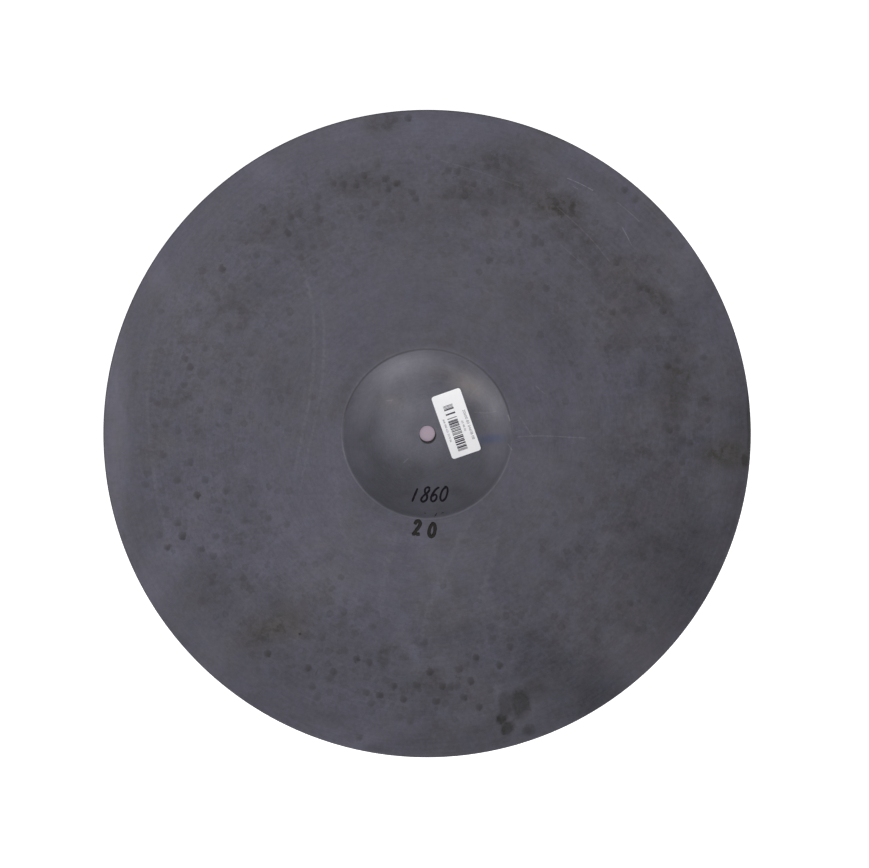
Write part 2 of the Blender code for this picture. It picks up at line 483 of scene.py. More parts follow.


# Stains and painted light on the underside: px, py, half width, half height, turn in degrees,
# strength. Brown ones darken the skin. Wipes lighten it, or dull it below nought; besides wiped
# spots they hold painted light and shade: the bow lighter at left and darker at right and lower
# right, the bell lighter at the top and darker low down. Warm ones tint it, blue below nought;
# the warm patch at the top of the bell is a painted highlight. Smears are greasy films with an edge.
stainsAndShading = {
    "brown": [
        (383, 124, 20, 12, 0, 0.50), (366, 186, 44, 14, 0, 0.46), (494, 162, 42, 20, 8, 0.46),
        (545, 200, 50, 22, -35, 0.42), (600, 262, 54, 26, -50, 0.34), (282, 226, 34, 20, 25, 0.34),
        (724, 454, 28, 16, 0, 0.72), (676, 386, 17, 42, -8, 0.60), (645, 300, 34, 38, 0, 0.28),
        (268, 628, 44, 26, 25, 0.40), (272, 632, 24, 12, 20, 0.18), (214, 584, 30, 30, 0, 0.26),
        (330, 660, 60, 22, 15, 0.20), (537, 690, 12, 12, 0, 0.35), (384, 656, 6, 16, 0, 0.50),
        (440, 684, 86, 18, 0, 0.20), (238, 500, 20, 60, 10, 0.16), (402, 225, 60, 18, 0, 0.20),
        (470, 205, 60, 16, 0, 0.22), (550, 300, 50, 60, 0, 0.18), (640, 630, 30, 40, 40, 0.24),
        (545, 132, 26, 3, -22, 0.50), (460, 190, 16, 10, 0, 0.35), (438, 630, 8, 10, 0, 0.30),
        (468, 632, 9, 12, 0, 0.30), (250, 295, 40, 16, 30, 0.18), (668, 560, 40, 90, -20, 0.16),
        (275, 385, 14, 26, 0, 0.25), (590, 560, 40, 50, 0, 0.14), (230, 330, 10, 6, 0, 0.25),
        (660, 300, 26, 8, -50, 0.30), (495, 190, 40, 10, 10, 0.25), (565, 205, 20, 12, 0, 0.35),
    ],
    # wiped spots, with painted light and shade: bow lighter at left and darker at right, bell lighter on top
    "wipesAndShading": [
        (165, 300, 42, 120, 25, 0.10), (114, 420, 15, 150, 0, 0.30), (150, 590, 22, 110, -30, 0.22),
        (350, 735, 120, 12, 8, 0.10), (715, 600, 60, 140, 35, -0.37), (744, 480, 22, 130, 0, -0.28),
        (610, 712, 120, 40, -38, -0.37), (470, 745, 60, 20, 5, -0.12), (660, 420, 70, 120, 0, -0.07),
        (643, 277, 6, 4, 30, 0.22), (675, 292, 7, 6, 0, 0.26), (214, 552, 9, 6, 0, 0.20),
        (245, 470, 10, 12, 0, 0.14), (213, 395, 5, 8, 0, 0.16), (202, 300, 16, 6, -10, 0.14),
        (556, 190, 7, 5, 0, 0.20), (545, 222, 8, 4, 30, 0.18), (268, 246, 8, 5, 0, 0.20),
        (300, 224, 5, 4, 0, 0.20), (463, 206, 6, 3, 30, 0.20), (497, 690, 5, 12, 8, 0.20),
        (420, 130, 130, 14, 0, 0.10), (150, 260, 12, 80, 32, 0.12), (368, 560, 90, 80, 0, 0.14),
        (270, 495, 85, 85, 0, 0.08), (534, 480, 40, 42, 0, 0.10),
        (262, 168, 30, 14, -35, 0.16), (585, 150, 60, 12, -35, 0.14), (690, 250, 14, 40, -35, 0.14),
        (330, 400, 10, 110, 4, 0.08), (310, 560, 70, 40, -30, 0.06), (440, 580, 10, 70, 20, 0.12),
        (478, 580, 9, 60, 26, 0.10), (410, 650, 8, 30, 20, 0.14), (500, 610, 7, 40, 22, 0.10),
        (468, 386, 19, 13, -35, 0.52), (400, 372, 36, 16, 30, 0.22), (391, 401, 7, 5, 0, 0.20),
        (440, 362, 40, 12, 0, 0.20), (491, 439, 14, 4.5, 5, -0.06), (420, 500, 60, 5, 0, 0.05),
        (115, 440, 16, 110, 0, 0.10), (200, 668, 18, 70, -42, 0.16), (360, 405, 10, 28, -15, 0.30),
        (360, 461, 10, 22, 20, 0.18), (495, 458, 10, 22, -20, 0.18),
        (384, 488, 34, 22, 38, -0.22), (462, 494, 14, 9, -20, -0.18), (430, 470, 30, 10, 0, -0.10),
        (372, 440, 12, 20, 0, -0.12), (500, 425, 12, 26, -10, 0.06), (355, 745, 60, 5, 10, 0.12),
    ],
    # brown tints on the bow; the first three are a painted warm highlight at the top of the bell
    "warmAndHighlight": [
        (468, 386, 20, 13, -35, 0.9), (392, 402, 16, 9, 0, 0.5), (440, 372, 20, 8, -20, 0.3),
        (491, 439, 15, 5, 5, -1.0), (300, 633, 8, 7, 0, 0.9), (276, 624, 30, 16, 20, 0.8),
        (726, 455, 24, 14, 0, 0.9), (690, 352, 14, 8, 0, 0.5),
        (618, 270, 18, 12, 0, 0.5), (640, 300, 40, 60, -30, 0.35), (560, 210, 60, 30, -20, 0.35),
    ],
    "smears": [
        (501, 719, 7, 9, 10, 0.90), (507, 728, 8, 9, -35, 0.84), (505, 705, 8, 17, 0, 0.46),
        (520, 704, 12, 18, -4, 0.70), (529, 730, 8, 7, 0, 0.40), (536, 689, 14, 14, 0, 0.16),
        (745, 461, 5, 9, 0, 0.60), (749, 410, 2.5, 60, 0, 0.55), (300, 634, 2.0, 2.2, 0, 0.8),
        (491, 439, 12, 4.5, 5, 0.0), (436, 709, 3, 3, 0, 0.3),
    ],
}

# Peck marks of the hammer, (px, py, strength) in the photograph's frame
pecks = {
    "radius": 0.0033,
    "layers": 5,
    "strayPace": 0.0100,        # faint marks strewn by the material, at most one in each such cell
    "strayIn": (0.100, 0.130),
    "strayOut": (0.236, 0.216),
    "farAway": 2.3,             # in radii, where a placed mark no longer counts
    "spots": [
        (268, 653, .85), (308, 668, .7), (333, 672, .65), (357, 659, .85), (369, 662, .6), (345, 650, .35),
        (321, 637, .4), (312, 686, .45), (317, 697, .35), (355, 633, .4), (372, 626, .35), (386, 620, .25),
        (366, 692, .5), (379, 695, .85), (394, 686, .8), (386, 680, .35), (404, 699, .75), (417, 685, .7),
        (430, 672, .85), (436, 701, .75), (442, 686, .8), (451, 687, .55), (459, 669, .6), (464, 697, .8),
        (471, 681, .75), (476, 657, .8), (479, 707, .8), (490, 690, .35), (500, 665, .85), (510, 646, .6),
        (492, 638, .4), (497, 617, .35), (515, 622, .35), (529, 653, .25), (524, 673, .35), (371, 703, .4),
        (424, 642, .4), (302, 635, .25), (353, 707, .25), (342, 697, .2), (399, 717, .3), (410, 721, .35),
        (420, 713, .25), (435, 725, .3), (451, 711, .2), (359, 737, .5), (273, 672, .25), (258, 669, .2),
        (329, 678, .4), (397, 673, .2), (457, 686, .4), (512, 725, .3), (475, 730, .25), (529, 730, .4),
        (333, 183, .6), (343, 184, .65), (356, 185, .7), (364, 175, .6), (386, 179, .75), (397, 183, .9),
        (389, 189, .5), (412, 192, .5), (416, 199, .65), (375, 203, .5), (360, 207, .4), (361, 217, .5),
        (402, 218, .4), (384, 221, .25), (319, 219, .65), (317, 206, .5), (317, 196, .4), (299, 214, .5),
        (291, 217, .5), (288, 233, .65), (272, 221, .4), (267, 230, .4), (300, 257, .5), (325, 244, .3),
        (312, 246, .3), (333, 226, .3), (257, 255, .4), (448, 170, .5), (457, 171, .5), (466, 166, .4),
        (473, 184, .55), (465, 196, .6), (463, 182, .45), (490, 192, .55), (504, 201, .45), (484, 213, .5),
        (516, 223, .6), (489, 260, .6), (429, 207, .35), (431, 174, .25), (378, 168, .2), (409, 118, .6),
        (453, 147, .25), (395, 119, .4), (487, 167, .5), (496, 165, .5), (507, 173, .4), (555, 202, .7),
        (563, 212, .5), (572, 204, .6), (571, 211, .6), (541, 243, .5), (534, 244, .4), (535, 237, .4),
        (222, 269, .75), (247, 278, .35), (213, 292, .3), (205, 348, .35), (220, 346, .3), (185, 358, .45),
        (167, 373, .35), (190, 367, .6), (200, 372, .35), (184, 384, .5), (206, 372, .3), (157, 402, .4),
        (200, 409, .4), (222, 381, .35), (166, 424, .4), (178, 431, .4), (163, 455, .45), (190, 462, .5),
        (177, 480, .6), (197, 495, .85), (206, 480, .5), (226, 490, .4), (221, 456, .3), (146, 484, .4),
        (219, 510, .4), (254, 504, .35), (268, 518, .5), (287, 524, .35), (166, 508, .4), (177, 523, .5),
        (182, 536, .85), (168, 547, .75), (201, 549, .6), (216, 536, .4), (160, 535, .4), (213, 556, .45),
        (251, 353, .3), (283, 333, .3), (285, 360, .25), (238, 380, .35), (312, 397, .35), (260, 335, .2),
        (212, 582, .5), (202, 600, .35), (245, 520, .25), (667, 366, .8), (677, 360, .5), (669, 430, .7),
        (677, 427, .45), (665, 427, .4), (705, 398, .6), (708, 419, .5), (690, 443, .5), (681, 441, .4),
        (668, 464, .45), (682, 462, .5), (649, 452, .3), (676, 472, .3), (673, 338, .5), (658, 338, .35),
        (640, 287, .7), (646, 289, .65), (636, 282, .5), (616, 262, .55), (618, 258, .4), (612, 312, .55),
        (623, 310, .4), (663, 311, .6), (592, 301, .3), (615, 295, .35), (596, 258, .35), (597, 273, .3),
        (610, 325, .3), (546, 288, .45), (573, 257, .35), (704, 357, .5), (625, 190, .6), (635, 200, .45),
        (668, 233, .3), (681, 246, .3), (630, 603, .55), (637, 629, .35), (644, 628, .3), (655, 600, .3),
        (618, 606, .35), (560, 235, .35), (575, 225, .35), (592, 262, .35), (650, 470, .3), (701, 404, .3),
    ],
}

# Scratches: strength, half width in metres, then points in the photograph's frame
scratches = [
    (0.20, 0.00060, [(516, 437), (532, 436), (548, 436), (566, 437), (586, 438)]),
    (0.45, 0.00050, [(567, 178), (581, 184), (594, 191)]),
    (0.25, 0.00050, [(572, 186), (580, 190)]),
    (0.25, 0.00045, [(616, 201), (628, 211), (640, 222)]),
    (0.40, 0.00050, [(622, 227), (627, 236), (632, 246)]),
    (0.16, 0.00050, [(557, 207), (575, 223), (592, 240), (610, 262)]),
    (0.12, 0.00050, [(560, 244), (580, 262), (592, 272)]),
    (0.085, 0.0018, [(308, 283), (313, 310), (314, 350), (311, 390), (303, 430), (295, 470)]),
    (0.075, 0.0015, [(321, 300), (324, 335), (322, 380), (315, 420), (305, 465), (299, 492)]),
    (0.05, 0.0018, [(300, 262), (306, 280), (310, 300)]),
    (0.07, 0.0030, [(420, 640), (432, 600), (452, 555), (470, 520)]),
    (0.04, 0.0022, [(356, 560), (340, 520), (335, 470)]),
    (0.05, 0.0022, [(152, 345), (147, 400), (151, 450), (158, 500), (166, 530)]),
    (0.05, 0.0022, [(356, 600), (352, 620), (360, 640)]),
    (0.06, 0.0040, [(395, 535), (386, 570), (380, 610)]),
    (0.06, 0.0030, [(500, 520), (492, 560), (480, 600)]),
    (0.30, 0.0005, [(403, 463), (409, 458)]),
    (0.30, 0.0006, [(386, 401), (393, 400)]),
    (0.22, 0.0005, [(470, 396), (481, 384)]),
    (0.20, 0.0005, [(474, 412), (486, 413), (497, 411)]),
    (0.60, 0.0006, [(508, 415), (510, 421)]),
    (0.55, 0.0006, [(508, 444), (512, 450)]),
    (0.15, 0.0006, [(520, 417), (527, 428), (533, 437)]),
    (0.22, 0.0006, [(536, 386), (545, 394)]),
    (0.10, 0.0006, [(440, 160), (480, 172), (520, 186)]),
    (0.30, 0.0005, [(320, 662), (322, 663)]),
]
scratchLayers = 4
scratchReach = 0.0055            # no scratch is felt further off than this


def curved(points, steps=6):
    # smooth line through the points
    padded = [points[0]] + points + [points[-1]]
    line = []
    for a, b, c, d in zip(padded, padded[1:], padded[2:], padded[3:]):
        for step in range(steps):
            t = step / steps
            line.append(tuple(0.5 * (2 * q + (r - p) * t + (2 * p - 5 * q + 4 * r - s) * t * t
                                     + (3 * q - p - 3 * r + s) * t ** 3) for p, q, r, s in zip(a, b, c, d)))
    return line + [points[-1]]


def reachIn(x, y, blob):
    # nought in the middle of a turned ellipse and one at its border
    centre, halfWidth, halfHeight, turn, _ = blob
    dx, dy = x - centre[0], y - centre[1]
    along = (dx * math.cos(turn) + dy * math.sin(turn)) / halfWidth
    across = (dy * math.cos(turn) - dx * math.sin(turn)) / halfHeight
    return math.hypot(along, across)


def softBlob(x, y, blob):
    far = reachIn(x, y, blob) ** 2
    return blob[-1] * math.exp(-1.1 * far ** 1.3) if far < 6 else 0.0


def hardBlob(x, y, blob):
    return max(1 - reachIn(x, y, blob), -2.0), blob[-1]


def placedBlobs(entries):
    pixel = (camera["height"] - cadBox[1][2]) * camera["sensor"] / camera["lens"] / camera["widthPx"]
    return [(fromPixel(px, py), wide * pixel, tall * pixel, math.radians(turn), strength)
            for px, py, wide, tall, turn, strength in entries]


def inLayers(items, count, gap):
    # share out the items so that those in one layer stand apart; gap measures two of them
    layers = [[] for _ in range(count)]
    for item in items:
        room = [min((gap(item, other) for other in layer), default=9.0) for layer in layers]
        layers[room.index(max(room))].append(item)
    return layers


def paintPecks(mesh):
    spots = [(*fromPixel(px, py), strength) for px, py, strength in pecks["spots"]]
    layers = inLayers(spots, pecks["layers"], lambda a, b: math.dist(a[:2], b[:2]))
    size = pecks["radius"]
    for number, layer in enumerate(layers):
        tree = kdtree.KDTree(len(layer))
        for index, (x, y, _) in enumerate(layer):
            tree.insert((x, y, 0.0), index)
        tree.balance()
        data = []
        for vert in mesh.vertices:
            x, y, _ = vert.co
            _, index, reach = tree.find((x, y, 0.0))
            markX, markY, strength = layer[index]
            if reach >= pecks["farAway"] * size:
                strength = 0.0
            data += ((x - markX) / size, (y - markY) / size, strength)
        mesh.attributes.new(f"pecks{number}", "FLOAT_VECTOR", "POINT").data.foreach_set("vector", data)


def paintScratches(mesh, isUnderside):
    lines = [(strength, half, [fromPixel(*point) for point in curved(points)])
             for strength, half, points in scratches]
    layers = inLayers(lines, scratchLayers, lambda a, b: min(math.dist(p, q) for p in a[2] for q in b[2]))
    for number, layer in enumerate(layers):
        owners = [(a, b, line, math.dist(a, b) / 2) for line in layer for a, b in zip(line[2], line[2][1:])]
        tree = kdtree.KDTree(len(owners))
        for index, (a, b, _, _) in enumerate(owners):
            tree.insert(((a[0] + b[0]) / 2, (a[1] + b[1]) / 2, 0.0), index)
        tree.balance()
        data = []
        for vert in mesh.vertices:
            x, y, _ = vert.co
            _, index, reach = tree.find((x, y, 0.0))
            if reach > scratchReach + owners[index][3] or not isUnderside(vert):
                data += (0.0, 99.0, 0.0)
                continue
            (ax, ay), (bx, by), (strength, half, line), _ = owners[index]
            length = math.hypot(bx - ax, by - ay)
            ux, uy = (bx - ax) / length, (by - ay) / length
            along = (x - ax) * ux + (y - ay) * uy
            over = 0.0
            if (ax, ay) == line[0]:
                over = max(-along, 0.0)
            if (bx, by) == line[-1]:
                over = max(along - length, over)
            data += (((y - ay) * ux - (x - ax) * uy) / half, over / half, strength)
        mesh.attributes.new(f"scratches{number}", "FLOAT_VECTOR", "POINT").data.foreach_set("vector", data)


def paintMarks(mesh, isUnderside):
    print("painting stains, pecks and scratches")
    brown = placedBlobs(stainsAndShading["brown"])
    wipeAndShadingBlobs = placedBlobs(stainsAndShading["wipesAndShading"])
    smears = placedBlobs(stainsAndShading["smears"])
    warmAndHighlight = placedBlobs(stainsAndShading["warmAndHighlight"])
    stainAndShadingData, smearData = [], []
    for vert in mesh.vertices:
        x, y, z = vert.co
        if not isUnderside(vert):
            x, y = y, x              # the playing face is stained in other places
        stainAndShadingData += [sum(softBlob(x, y, blob) for blob in blobs) for blobs in (brown, wipeAndShadingBlobs, warmAndHighlight)]
        smearData += (*max(hardBlob(x, y, blob) for blob in smears), 0.0)
    mesh.attributes.new("stainsAndShading", "FLOAT_VECTOR", "POINT").data.foreach_set("vector", stainAndShadingData)
    mesh.attributes.new("smears", "FLOAT_VECTOR", "POINT").data.foreach_set("vector", smearData)
    paintPecks(mesh)
    paintScratches(mesh, isUnderside)


def makePlate():
    print("turning and hammering the plate")
    low = [(radius, height, 1) for radius, height, _ in playingFace(12, 6, 46)]
    high = [(radius, height, 2) for radius, height, _ in underside(26, 8, 128)]
    radius, height, slope = playingFace(12, 6, 46)[-1]
    half = wallAt(radius) / 2
    middle = (radius - half * math.sin(slope), height + half * math.cos(slope))
    rim = []
    for step in range(1, 7):
        turn = slope - math.pi / 2 + math.pi * step / 7
        rim.append((middle[0] + half * math.cos(turn), middle[1] + half * math.sin(turn), 1))
    breakIn = plate["cornerBreak"]
    hole = plate["holeRadius"]
    high[0] = (hole + breakIn, high[0][1], 2)
    low[0] = (hole + breakIn, 0.0, 1)
    bore = [(hole, high[0][1] - breakIn, 3), (hole, high[0][1] / 2, 3), (hole, breakIn, 3)]
    high.insert(1, (hole + 3 * breakIn, high[0][1], 2))
    low.insert(1, (hole + 3 * breakIn, 0.0, 1))
    outline = low + rim + high[::-1] + bore

    bm = bmesh.new()
    side = bm.verts.layers.int.new("side")
    ring = [bm.verts.new((radius, 0.0, height)) for radius, height, _ in outline]
    for vert, (_, _, face) in zip(ring, outline):
        vert[side] = face
    edges = [bm.edges.new(pair) for pair in zip(ring, ring[1:] + ring[:1])]
    bmesh.ops.spin(bm, geom=ring + edges, cent=(0, 0, 0), axis=(0, 0, 1), angle=math.tau,
                   steps=plate["turnSteps"], use_merge=True)
    bmesh.ops.recalc_face_normals(bm, faces=bm.faces)
    slopes = [(r, s) for r, _, s in finePoints]
    for vert in bm.verts:
        x, y, _ = vert.co
        reach = math.hypot(x, y)
        slope = slopeAt(slopes, reach)
        lift = hammerRelief(x, y)
        inward = -math.sin(slope) * lift / max(reach, 1e-9)
        vert.co.x += x * inward
        vert.co.y += y * inward
        vert.co.z += math.cos(slope) * lift
    piece = addPiece("hammered_plate", bm, bronzeMaterial(), "cymbal_plate")
    sides = [item.value for item in piece.data.attributes["side"].data]
    paintMarks(piece.data, lambda vert: sides[vert.index] == 2)
    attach(piece, "root")
    return piece


def slopeAt(slopes, radius):
    lowest, highest = 0, len(slopes) - 1
    while highest - lowest > 1:
        middle = (lowest + highest) // 2
        if slopes[middle][0] < radius:
            lowest = middle
        else:
            highest = middle
    return slopes[highest][1]


label = {
    "length": 0.053,
    "width": 0.025,
    "thickness": 0.00015,
    "cornerRadius": 0.0022,
    "fromHole": 0.0060,
    "bearing": 19.3,
    "lift": 0.00022,             # glue and paper stand off the wall
    "curl": 0.0005,              # the outer corners have come up a little
    "ripple": 0.00004,
    "ripplesPerMetre": 160,
    "paper": (0.93, 0.925, 0.925),
    "bright": (0.965, 0.96, 0.955),
    "fibre": (0.80, 0.79, 0.81),
}


def onLabel(u, v, above=0.0):
    # u runs outwards from the hole and v along the label's length, both from its middle
    outward = undersideRadius(label["fromHole"] + label["width"] / 2 + u)
    bearing = math.radians(label["bearing"])
    x = outward * math.cos(bearing) - v * math.sin(bearing)
    y = outward * math.sin(bearing) + v * math.cos(bearing)
    corner = smooth(0.55, 1.0, abs(v) / (label["length"] / 2)) * smooth(0.2, 1.0, u / (label["width"] / 2))
    ripple = label["ripple"] * noise.noise(Vector((u, v, 0.0)) * label["ripplesPerMetre"])
    z = undersideHeight(math.hypot(x, y)) + hammerRelief(x, y) + label["lift"]
    return Vector((x, y, z + label["curl"] * corner + ripple + above))


def paperMaterial():
    material, tree, shader = newMaterial("label paper")
    place = put(tree, "ShaderNodeTexCoord", {}).outputs["Object"]
    fibre = cloud(tree, place, 900.0, 5.0, 0.7)
    handled = cloud(tree, place, 70.0, 3.0, 0.5)
    color = tint(tree, span(tree, handled, 0.35, 0.7), label["paper"], label["bright"])
    color = tint(tree, span(tree, fibre, 0.3, 0.7, 0.0, 0.10), color, label["fibre"])
    tree.links.new(color, shader.inputs["Base Color"])
    tree.links.new(span(tree, fibre, 0.3, 0.7, 0.42, 0.58), shader.inputs["Roughness"])
    bump = put(tree, "ShaderNodeBump", {"Height": fibre, "Strength": 0.12, "Distance": 0.00005})
    tree.links.new(bump.outputs[0], shader.inputs["Normal"])
    return material


def makeLabel():
    print("laying the label")
    bm = bmesh.new()
    bmesh.ops.create_grid(bm, x_segments=24, y_segments=48, size=0.5)
    bmesh.ops.scale(bm, vec=(label["width"], label["length"], 1), verts=bm.verts)
    half = Vector((label["width"] / 2, label["length"] / 2))
    corner = label["cornerRadius"]
    for vert in bm.verts:            # draw the square corners in to their radius
        inner = Vector((half.x - corner, half.y - corner))
        out = Vector((max(abs(vert.co.x) - inner.x, 0.0), max(abs(vert.co.y) - inner.y, 0.0)))
        if out.x > 0 and out.y > 0:
            squeeze = max(out.x, out.y) / out.length
            vert.co.x = math.copysign(inner.x + out.x * squeeze, vert.co.x)
            vert.co.y = math.copysign(inner.y + out.y * squeeze, vert.co.y)
    for vert in bm.verts:
        vert.co = onLabel(vert.co.x, vert.co.y)
    bmesh.ops.recalc_face_normals(bm, faces=bm.faces)
    if sum(face.normal.z for face in bm.faces) < 0:
        bmesh.ops.reverse_faces(bm, faces=bm.faces)
    top = bmesh.ops.extrude_face_region(bm, geom=bm.faces[:])
    lifted = [item for item in top["geom"] if isinstance(item, bmesh.types.BMVert)]
    bmesh.ops.translate(bm, verts=lifted, vec=(0, 0, label["thickness"]))
    bmesh.ops.recalc_face_normals(bm, faces=bm.faces)
    piece = addPiece("shop_label", bm, paperMaterial(), "paper_label")
    piece.data.set_sharp_from_angle(angle=math.radians(40))
    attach(piece, "root")


def inkMaterial(name, color, rough):
    material, tree, shader = newMaterial(name)
    place = put(tree, "ShaderNodeTexCoord", {}).outputs["Object"]
    patchy = cloud(tree, place, 700.0, 4.0, 0.7)
    thin = tuple(channel * 2.2 for channel in color)
    ink = tint(tree, span(tree, patchy, 0.45, 0.75, 0.0, 0.6), color, thin)
    tree.links.new(ink, shader.inputs["Base Color"])
    tree.links.new(span(tree, patchy, 0.3, 0.7, rough - 0.08, rough + 0.1), shader.inputs["Roughness"])
    shader.inputs["Specular IOR Level"].default_value = 0.2
    return material


# Print on the label: bars of no code and rows of plain figures. u and v as in onLabel
printed = {
    "barBand": (-0.0058, 0.0022),    # u, from the hole side outwards
    "barGroups": [                   # v of both ends, share that is ink
        (0.0162, 0.0106, 0.48), (0.0096, 0.0050, 0.34), (0.0036, -0.0022, 0.72),
        (-0.0028, -0.0086, 0.55), (-0.0096, -0.0152, 0.70), (-0.0158, -0.0220, 0.66),
    ],
    "barWidths": (0.00045, 0.00045, 0.0008, 0.0012),
    "seed": 20,
    "inkThickness": 0.00002,
    "inkGap": 0.00003,
    "inkWidth": 0.002,               # a bar is cut across at this pace, to follow the label's bend
    "ink": (0.040, 0.036, 0.050),
    "faintInk": (0.20, 0.19, 0.23),
    "rows": [
        # figures, u of the baseline, v of the middle, height
        ("20600 80 04608 08", 0.0083, -0.0040, 0.0023),
        ("60 48 06", 0.0044, -0.0037, 0.0018),
        ("008 408 620 3570 06", -0.0096, -0.0032, 0.0016),
    ],
}


def addSlab(bm, uLow, uHigh, vLow, vHigh):
    made = bmesh.ops.create_cube(bm, size=1)["verts"]
    across = max(1, round((uHigh - uLow) / printed["inkWidth"]))
    for vert in made:
        vert.co.x = uLow + (vert.co.x + 0.5) * (uHigh - uLow)
        vert.co.y = vLow + (vert.co.y + 0.5) * (vHigh - vLow)
        vert.co.z = (vert.co.z + 0.5) * printed["inkThickness"]
    long = [edge for edge in {e for vert in made for e in vert.link_edges}
            if abs(edge.verts[0].co.x - edge.verts[1].co.x) > (uHigh - uLow) * 0.9]
    bmesh.ops.subdivide_edges(bm, edges=long, cuts=across, use_grid_fill=True)


def layOnLabel(bm):
    for vert in bm.verts:
        above = label["thickness"] + printed["inkGap"] + vert.co.z
        vert.co = onLabel(vert.co.x, vert.co.y, above)


def makePrint():
    print("printing the label")
    rng = random.Random(printed["seed"])
    bm = bmesh.new()
    for start, end, share in printed["barGroups"]:
        here = start
        while here > end:
            width = min(rng.choice(printed["barWidths"]), here - end)
            addSlab(bm, *printed["barBand"], here - width, here)
            here -= width / share * rng.uniform(0.85, 1.15)
    layOnLabel(bm)
    bars = addPiece("label_bars", bm, inkMaterial("label print", printed["ink"], 0.5))
    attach(bars, "root")

    bm = bmesh.new()
    for figures, uBase, vMiddle, tall in printed["rows"]:
        font = bpy.data.curves.new("figures", "FONT")
        font.body = figures
        font.size = tall * 1.4
        font.align_x = "CENTER"
        font.extrude = printed["inkThickness"] / 2
        font.resolution_u = 3
        words = bpy.data.objects.new("figures", font)
        bpy.context.collection.objects.link(words)
        mesh = bpy.data.meshes.new_from_object(words)
        before = len(bm.verts)
        bm.from_mesh(mesh)
        bm.verts.ensure_lookup_table()
        for vert in bm.verts[before:]:
            x, y, z = vert.co
            vert.co = (uBase + y, vMiddle - x, z)   # rows run down the label's length
        bpy.data.objects.remove(words, do_unlink=True)
    bmesh.ops.remove_doubles(bm, verts=bm.verts, dist=1e-7)
    layOnLabel(bm)
    bmesh.ops.recalc_face_normals(bm, faces=bm.faces)
    rows = addPiece("label_figures", bm, inkMaterial("faint label print", printed["faintInk"], 0.5))
    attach(rows, "root")


# Felt-pen marks: each figure is drawn in a box one unit high, from its lower left corner
penFigures = {
    "0": [[(0.36, 0.97), (0.15, 0.84), (0.04, 0.52), (0.08, 0.18), (0.26, 0.02), (0.45, 0.16), (0.52, 0.50),
           (0.46, 0.84), (0.31, 0.99), (0.20, 0.93)]],
    "1": [[(0.30, 0.95), (0.24, 0.66), (0.17, 0.32), (0.12, 0.02)]],
    "2": [[(0.06, 0.74), (0.16, 0.94), (0.36, 1.0), (0.50, 0.84), (0.42, 0.58), (0.22, 0.30), (0.02, 0.04),
           (0.18, 0.08), (0.36, 0.02), (0.56, 0.05)]],
    "6": [[(0.52, 0.98), (0.30, 0.84), (0.12, 0.52), (0.08, 0.18), (0.26, 0.0), (0.46, 0.12), (0.47, 0.36),
           (0.30, 0.48), (0.12, 0.34)]],
    "8": [[(0.54, 0.88), (0.38, 1.0), (0.18, 0.88), (0.24, 0.62), (0.44, 0.42), (0.46, 0.14), (0.24, 0.0),
           (0.06, 0.14), (0.16, 0.40), (0.42, 0.62), (0.55, 0.86)]],
}

penMarks = [
    {"name": "weight_marks", "figures": "1860", "start": (410.5, 502), "tall": 14.5, "pace": 9.4,
     "climb": 0.3, "lean": 0.26, "pen": 0.00088, "color": (0.0065, 0.0045, 0.0075)},
    {"name": "size_marks", "figures": "20", "start": (413, 534.5), "tall": 13.5, "pace": 15.0,
     "climb": -2.5, "lean": 0.12, "pen": 0.00150, "color": (0.0080, 0.0070, 0.0045)},
]

penSkips = [[(424.6, 512.5), (425.4, 514)], [(434.5, 516.5), (437, 513)], [(441.5, 513), (444, 512.4)]]
penFilm = {"gap": 0.00006, "thickness": 0.00002, "skipPen": 0.00028, "boxWidth": 0.9}


def penStroke(curve, points, pen):
    # thin where the pen lands and leaves
    path = curved(points)
    line = curve.splines.new("POLY")
    line.points.add(len(path) - 1)
    for index, (px, py) in enumerate(path):
        x, y = fromPixel(px, py)
        line.points[index].co = (x, y, 0.0, 1.0)
        ends = min(index, len(path) - 1 - index)
        press = 0.92 + 0.16 * noise.noise(Vector((px, py, 1.0)) * 0.35)
        line.points[index].radius = pen * press * (0.45, 0.8, 1.0)[min(ends, 2)]


def makePenMark(name, strokes, pen, color):
    curve = bpy.data.curves.new(name, "CURVE")
    curve.dimensions = "3D"
    curve.bevel_depth = 1.0
    curve.bevel_resolution = 1
    curve.use_fill_caps = True
    for points in strokes:
        penStroke(curve, points, pen)
    drawn = bpy.data.objects.new(name + "_line", curve)
    bpy.context.collection.objects.link(drawn)
    mesh = bpy.data.meshes.new_from_object(drawn)
    bpy.data.objects.remove(drawn, do_unlink=True)
    bm = bmesh.new()
    bm.from_mesh(mesh)
    for vert in bm.verts:
        x, y, z = vert.co
        ink = max(min(z / pen, 1.0), -1.0) * penFilm["thickness"]
        vert.co.z = undersideHeight(math.hypot(x, y)) + hammerRelief(x, y) + penFilm["gap"] + ink
    bmesh.ops.remove_doubles(bm, verts=bm.verts, dist=1e-7)
    bmesh.ops.recalc_face_normals(bm, faces=bm.faces)
    piece = addPiece(name, bm, inkMaterial(name + " ink", color, 0.42))
    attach(piece, "root")


def makePenMarks():
    print("writing the pen marks")
    for mark in penMarks:
        tall, wide = mark["tall"], mark["tall"] * penFilm["boxWidth"]
        strokes = []
        for index, figure in enumerate(mark["figures"]):
            left = mark["start"][0] + index * mark["pace"]
            foot = mark["start"][1] - index * mark["climb"]
            for points in penFigures[figure]:
                strokes.append([(left + (x + mark["lean"] * y) * wide, foot - y * tall) for x, y in points])
        makePenMark(mark["name"], strokes, mark["pen"], mark["color"])
    makePenMark("pen_skips", penSkips, penFilm["skipPen"], penMarks[1]["color"])


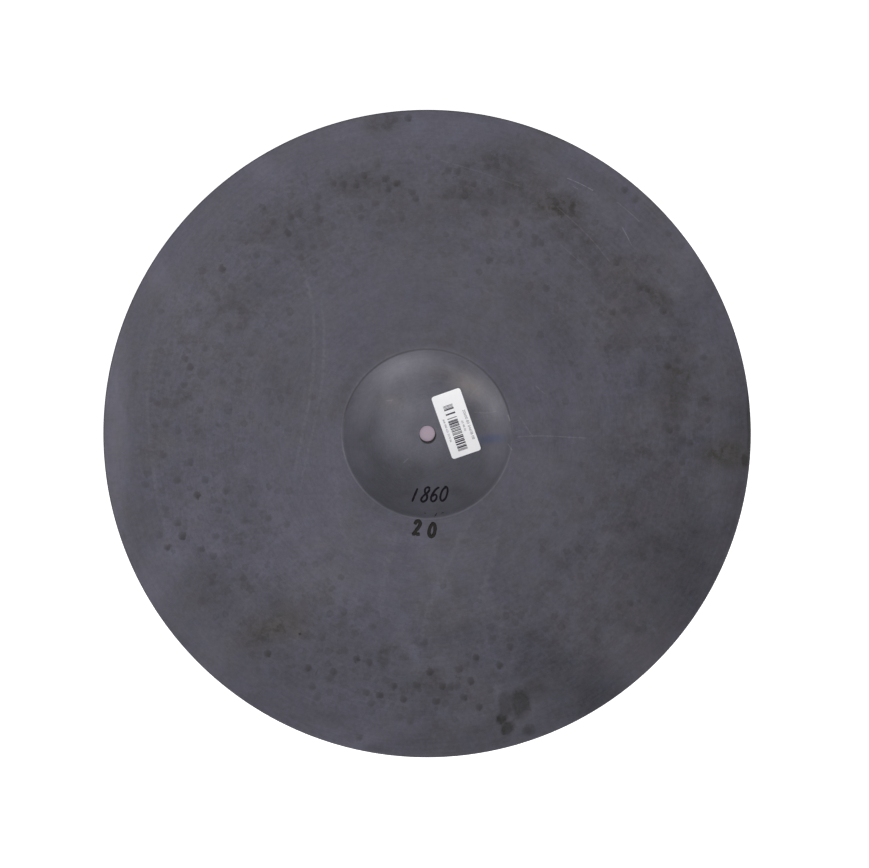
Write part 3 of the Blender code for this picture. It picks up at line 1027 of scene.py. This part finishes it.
# Floor, light and camera: painted light glows from the floor outside the disc, painted shade under the hole
table = {
    "half": 6.0,
    "pale": (0.90, 0.90, 0.90),
    "glow": 0.75,
    "glowFrom": (0.20, 0.26),
    "spot": (0.46, 0.37, 0.43),      # pinkish floor seen through the hole, darkened as painted shade
    "spotEdge": (0.0085, 0.0095),
}

aim = (0, 0, 0.03)
lamps = [
    {"name": "leftWindow", "place": (-2.6, -1.2, 0.95), "size": (1.6, 1.1), "power": 29,
     "color": (1.0, 0.98, 0.95)},
    {"name": "rightWindow", "place": (1.3, -2.6, 0.90), "size": (1.8, 1.1), "power": 26.5,
     "color": (1.0, 0.98, 0.96)},
    {"name": "overhead", "place": (0.9, -0.7, 3.4), "size": (2.2, 2.2), "power": 46.5,
     "color": (0.97, 0.98, 1.0)},
]
roomLight = {"color": (0.95, 0.96, 1.0, 1.0), "strength": 0.465}


def floorMaterial():
    material, tree, shader = newMaterial("pale floor")
    place = put(tree, "ShaderNodeTexCoord", {}).outputs["Object"]
    reach = put(tree, "ShaderNodeVectorMath", {0: place}, operation="LENGTH").outputs["Value"]
    under = span(tree, reach, *table["spotEdge"])
    tree.links.new(tint(tree, under, table["spot"], table["pale"]), shader.inputs["Base Color"])
    shader.inputs["Roughness"].default_value = 0.9
    shader.inputs["Specular IOR Level"].default_value = 0.1
    # painted light: the floor glows outside the disc so the disc's shadow does not show on it
    glow = span(tree, reach, *table["glowFrom"], 0.0, table["glow"])
    shader.inputs["Emission Color"].default_value = (1.0, 1.0, 1.0, 1.0)
    tree.links.new(glow, shader.inputs["Emission Strength"])
    return material


def makeFloor():
    bm = bmesh.new()
    bmesh.ops.create_grid(bm, x_segments=2, y_segments=2, size=table["half"])
    floor = addPiece("floor", bm, floorMaterial())


def addLamp(lamp):
    shine = bpy.data.lights.new(lamp["name"], "AREA")
    shine.shape = "RECTANGLE"
    shine.size, shine.size_y = lamp["size"]
    shine.energy = lamp["power"]
    shine.color = lamp["color"]
    holder = bpy.data.objects.new(lamp["name"], shine)
    holder.location = lamp["place"]
    towards = Vector(aim) - Vector(lamp["place"])
    holder.rotation_euler = towards.to_track_quat("-Z", "Y").to_euler()
    bpy.context.collection.objects.link(holder)


def makeLight():
    print("setting the light and the camera")
    for lamp in lamps:
        addLamp(lamp)
    world = bpy.data.worlds.new("studio")
    world.use_nodes = True
    shade = world.node_tree.nodes["Background"]
    shade.inputs["Color"].default_value = roomLight["color"]
    shade.inputs["Strength"].default_value = roomLight["strength"]
    bpy.context.scene.world = world
    bpy.context.scene.view_settings.view_transform = "Standard"


def makeCamera():
    lens = bpy.data.cameras.new("camera")
    lens.lens = camera["lens"]
    lens.sensor_width = camera["sensor"]
    lens.clip_start = 0.05
    holder = bpy.data.objects.new("camera", lens)
    holder.location = (*camera["aside"], camera["height"])
    bpy.context.collection.objects.link(holder)
    bpy.context.scene.camera = holder


makePlate()
makeLabel()
makePrint()
makePenMarks()
makeFloor()
makeLight()
makeCamera()
